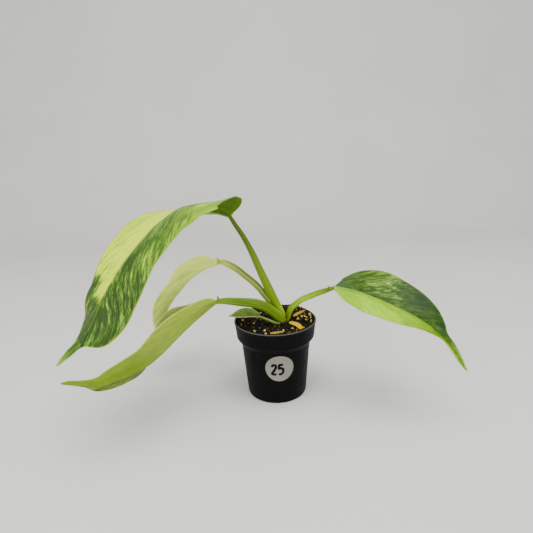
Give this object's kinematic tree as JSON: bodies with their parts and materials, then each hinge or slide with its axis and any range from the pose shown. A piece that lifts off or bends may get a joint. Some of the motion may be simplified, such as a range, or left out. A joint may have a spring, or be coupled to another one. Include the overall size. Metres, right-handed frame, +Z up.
{
  "type": "potted variegated jose buono philodendron",
  "caption": "Young philodendron with large marbled green and cream leaves on arching stalks, in a small round black nursery pot.",
  "frame": {"origin": "centre of the pot's underside, on the surface that the pot stands on", "axes": "+Z up along the pot; -Y is the side with the sticker; the tall leaf arches to -X and the right leaf to +X"},
  "size_m": [0.3027, 0.1742, 0.1898],
  "materials": {
    "black_plastic": "satin black moulded plastic with a greyer rim edge",
    "potting_mix": "dark moist potting mix with bark crumbs and pale grains",
    "sticker_paper": "matte off-white paper with a handwritten plain number",
    "stem": "olive green, slightly rough stem",
    "bark": "dry tan bark, rough",
    "dry_sheath": "drying bud sheath, yellow to orange",
    "stalk": "smooth lime to olive green stalk with fine streaks",
    "blade_variegated": "waxy leaf, dark green marbled with lime and cream along the veins",
    "blade_pale": "waxy leaf underside, cream green with pale veins",
    "blade_lime": "waxy leaf underside, yellow green with a pale margin",
    "blade_plain": "soft grey green young leaf with a pale margin"
  },
  "bodies": {
    "root": {"bark_strip_front": "bark", "bark_strip_right": "bark", "crown_stem": "stem", "dry_bud_sheath": "dry_sheath", "leaf_back_blade": "blade_pale", "leaf_back_stalk": "stalk", "leaf_low_blade": "blade_lime", "leaf_low_stalk": "stalk", "leaf_right_blade": "blade_variegated", "leaf_right_stalk": "stalk", "leaf_small_blade": "blade_plain", "leaf_small_stalk": "stalk", "leaf_tall_blade": "blade_variegated", "leaf_tall_stalk": "stalk", "pot": "black_plastic", "potting_mix": "potting_mix", "sticker": "sticker_paper"}
  },
  "joints": []
}
